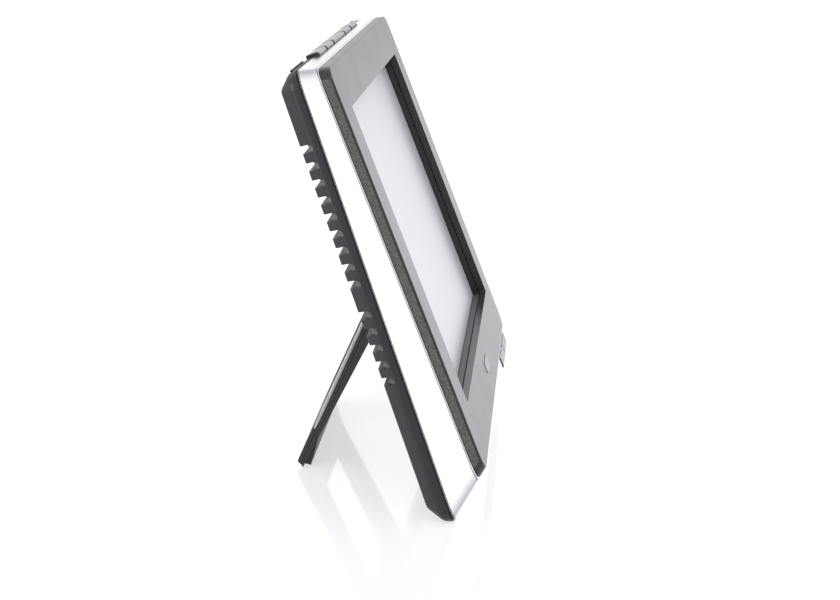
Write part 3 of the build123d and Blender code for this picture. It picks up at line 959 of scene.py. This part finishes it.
@dataclass
class Electronics:
    """Boards, chips, sockets and ribbons inside the cover.

    Attributes:
        body: the leaned frame they are drawn in.
        board_rear: depth of the main board's rear face, metres.
        socket_face: X of the sockets' mouths, metres.
        card: the card slot's contacts.
        usb: the data socket's contacts.
        spring: half the thickness of a contact, metres.
        part_grid: columns and rows of small parts on the main board.
        part_start: X and height of the first small part, metres.
        part_pitch: their spacing along X and up, metres.
        part_size: size of a small part, metres.
    """

    body: PanelFrame = field(default_factory=PanelFrame)
    board_rear: float = 12.8 * MM
    socket_face: float = 91.2 * MM
    card: ContactRow = ContactRow(9, 2.5 * MM, 41.5 * MM, 18 * MM, 11.25 * MM, 8 * MM, 1.1 * MM)
    usb: ContactRow = ContactRow(5, 0.8 * MM, 21.5 * MM, 5.6 * MM, 9.12 * MM, 4.2 * MM, 0.4 * MM)
    spring: float = 0.12 * MM
    part_grid: tuple[int, int] = (5, 9)
    part_start: tuple[float, float] = (53.0 * MM, 19.5 * MM)
    part_pitch: tuple[float, float] = (2.4 * MM, 2.2 * MM)
    part_size: tuple[float, float, float] = (1.5 * MM, 0.7 * MM, 0.7 * MM)

    def build(self) -> None:
        """Dresses the boards and sockets, and adds their contacts and small parts."""
        dress(SolderMask().make("circuit_board", self.body), "main_board", "key_board", "pod_board")
        chip = Finish.CHIP.value.make("chip_plastic")
        dress(chip, "board_chips")
        dress(Finish.STEEL.value.make("socket_steel"), "card_slot", "usb_socket")
        dress(RibbonFilm().make("ribbon_film", self.body), "key_ribbon", "panel_ribbon", "pod_ribbon")
        gold = Finish.GOLD.value.make("contact_gold")
        new_piece("card_contacts", self.contacts(self.card), gold, "housing")
        new_piece("usb_contacts", self.contacts(self.usb), gold, "housing")
        new_piece("small_parts", self.small_parts(), chip, "housing")

    def contacts(self, row: ContactRow) -> Surface:
        """A row of contact springs, each a bead carried along X.

        Args:
            row: the row's sizes.

        Returns:
            Vertices and faces.
        """
        c, s = math.cos(self.body.lean), math.sin(self.body.lean)
        heights = row.middle + (np.arange(row.count) - (row.count - 1) / 2) * row.pitch
        ends = np.stack([np.full(row.count, self.socket_face - row.inset),
                         np.full(row.count, row.depth), heights], axis=1)
        run, side, up = np.array([row.length, 0, 0]), np.array([0, s, c]), np.array([0, -c, s])
        return merged([carried_strip(row.width / 2, self.spring, start, run, side, up, count=8)
                       for start in self.body.place(ends)])

    def small_parts(self) -> Surface:
        """Rows of small capacitors and resistors on the board, every other row the taller.

        Returns:
            Vertices and faces.
        """
        column, row = (part.ravel() for part in np.indices(self.part_grid))
        centres = np.stack([self.part_start[0] + self.part_pitch[0] * column,
                            np.full(column.shape, self.board_rear + self.part_size[1] / 2),
                            self.part_start[1] + self.part_pitch[1] * row], axis=1)
        sizes = np.tile(self.part_size, (len(centres), 1))
        sizes[:, 2] += 0.25 * MM * (row % 2)
        points, faces = rounded_blocks(centres, sizes, squareness=7.0)
        return self.body.place(points), faces


@dataclass
class Stand:
    """The folding leg with its foot.

    Attributes:
        body: the leaned frame its axis is fixed in.
        leg: the frame it is drawn in.
        flange_x: X of a flange's outer face, metres.
        bead_run: where the flange beads start and how long they are, metres.
        bead_out: how far out of the axis the beads run, metres.
        bead_section: half a bead's width and how far it stands out, metres.
        plate_x: X of the plate's side face, metres.
        edge_run: where the plate's edge strips, light grey as a painted highlight, start and how long
            they are, metres.
        plate_out: middle of the plate's thickness, metres.
        edge_section: half an edge strip's width and how far it stands out, metres.
    """

    body: PanelFrame = field(default_factory=PanelFrame)
    leg: LegFrame = field(default_factory=LegFrame)
    flange_x: float = 39.6 * MM
    bead_run: tuple[float, float] = (2.5 * MM, 59.5 * MM)
    bead_out: float = -0.35 * MM
    bead_section: tuple[float, float] = (0.3 * MM, 0.2 * MM)
    plate_x: float = 39.9 * MM
    edge_run: tuple[float, float] = (5.0 * MM, 47.0 * MM)
    plate_out: float = 0.92 * MM
    edge_section: tuple[float, float] = (0.6 * MM, 0.38 * MM)

    def build(self) -> None:
        """Dresses the leg and adds the beads that stiffen its flanges."""
        plastic = Finish.LEG.value.make("leg_plastic")
        dress(plastic, "stand_leg")
        dress(RibbedRubber().make("foot_rubber", self.body), "leg_foot_pad")
        dress(Finish.STEEL.value.make("pin_steel"), "hinge_pins", "friction_washers")
        # the edge strips are a painted highlight on the dark leg
        painted_highlight = Finish.EDGE_HIGHLIGHT.value.make("leg_edge")
        for side, word in ((-1, "left"), (1, "right")):
            bead = self.strip(side, self.flange_x, self.bead_out, self.bead_run, self.bead_section)
            edge = self.strip(side, self.plate_x, self.plate_out, self.edge_run, self.edge_section)
            new_piece(f"leg_bead_{word}", bead, plastic, "leg")
            new_piece(f"leg_edge_{word}", edge, painted_highlight, "leg")

    def strip(self, side: int, x: float, out: float, run: tuple[float, float],
              section: tuple[float, float]) -> Surface:
        """A strip down the leg on one of its sides.

        Args:
            side: -1 on the left and 1 on the right.
            x: distance of its line from the middle, metres.
            out: how far out of the axis its line runs, metres.
            run: where it starts and how long it is, metres.
            section: half its width and how far it stands out, metres.

        Returns:
            Vertices and faces.
        """
        begin, length = run
        ends = np.array([(side * x, begin, out), (side * x, begin + length, out),
                         (side * x, begin, out + MM)])
        start, stop, outer = self.leg.place(ends, self.body)
        return carried_strip(*section, start, stop - start,
                             (outer - start) / MM, np.array([float(side), 0, 0]))


@dataclass(frozen=True)
class Lamp:
    """A square soft light.

    Attributes:
        name: its name.
        at: its place, metres.
        size: its side, metres.
        power: its power, watts.
    """

    name: str
    at: tuple[float, float, float]
    size: float
    power: float

    def hang(self, target: Vector) -> None:
        """Puts the light in the scene.

        Args:
            target: the point it is aimed at.
        """
        light = bpy.data.lights.new(self.name, "AREA")
        light.size, light.energy = self.size, self.power
        lamp = bpy.data.objects.new(self.name, light)
        lamp.location = self.at
        lamp.rotation_euler = (target - Vector(self.at)).to_track_quat("-Z", "Y").to_euler()
        bpy.context.scene.collection.objects.link(lamp)


@dataclass
class Studio:
    """White table, soft lights and the camera.

    Attributes:
        lamps: the lights.
        lit_point: the point they are aimed at, metres.
        table_half: half the table's side, metres.
        camera_at: place of the camera, metres.
        camera_look: unit vector it looks along.
        lens: focal length for a 36 mm wide sensor, millimetres.
    """

    lamps: tuple[Lamp, ...] = (
        Lamp("key_light", (-1.1, -0.5, 1.3), 1.2, 9.0),
        Lamp("rim_light", (-0.9, 1.1, 0.35), 0.5, 9.0),
        Lamp("front_light", (0.4, -1.8, 1.0), 1.4, 6.0),
        Lamp("rear_light", (0.7, 1.4, 1.4), 1.2, 5.0),
    )
    lit_point: tuple[float, float, float] = (0.0, 0.0, 0.05)
    table_half: float = 6.0
    camera_at: tuple[float, float, float] = (-0.6439, -0.04766, 0.1886)
    camera_look: tuple[float, float, float] = (0.9742, 0.0650, -0.2161)
    lens: float = 86.14

    def build(self) -> None:
        """Sets up the table, the surroundings, the lights and the camera."""
        self.table()
        self.surroundings()
        for lamp in self.lamps:
            lamp.hang(Vector(self.lit_point))
        self.camera()

    def table(self) -> None:
        """A pale glossy table top, lit softly from within."""
        sheet = Sheet("table_top")
        cloud = sheet.noise(0.4, detail=2.0)
        sheet.surface_values(Base_Color=cloud.blend((0.27, 0.27, 0.28), (0.29, 0.29, 0.30)),
                             Roughness=0.06, Specular_IOR_Level=0.30,
                             Emission_Color=(0.99, 0.98, 1.0, 1.0), Emission_Strength=0.65)
        mesh = bpy.data.meshes.new("table_top")
        half = self.table_half
        mesh.from_pydata([(-half, -half, 0), (half, -half, 0), (half, half, 0), (-half, half, 0)],
                         [], [(0, 1, 2, 3)])
        mesh.materials.append(sheet.material)
        table = bpy.data.objects.new("table_top", mesh)
        bpy.context.scene.collection.objects.link(table)

    def surroundings(self) -> None:
        """An even white room."""
        world = bpy.data.worlds.new("white_room")
        bpy.context.scene.world = world
        world.use_nodes = True
        background = world.node_tree.nodes["Background"]
        background.inputs["Color"].default_value = (0.99, 0.965, 1.0, 1.0)
        background.inputs["Strength"].default_value = 1.05
        bpy.context.scene.view_settings.view_transform = "Standard"

    def camera(self) -> None:
        """The camera at its viewing angle, with no roll."""
        data = bpy.data.cameras.new("camera")
        data.lens, data.sensor_width = self.lens, SENSOR_WIDTH
        data.clip_start, data.clip_end = 0.01, 50.0
        camera = bpy.data.objects.new("camera", data)
        camera.location = self.camera_at
        camera.rotation_euler = Vector(self.camera_look).to_track_quat("-Z", "Y").to_euler()
        bpy.context.scene.collection.objects.link(camera)
        bpy.context.scene.camera = camera


def main() -> None:
    """Builds every sub-assembly in order."""
    logging.basicConfig(level=logging.INFO, format="%(name)s: %(message)s")
    body = PanelFrame()
    Studio().build()
    Housing(body).build()
    Display(body).build()
    Keys(body).build()
    Electronics(body).build()
    Stand(body).build()


if __name__ == "__main__":
    main()
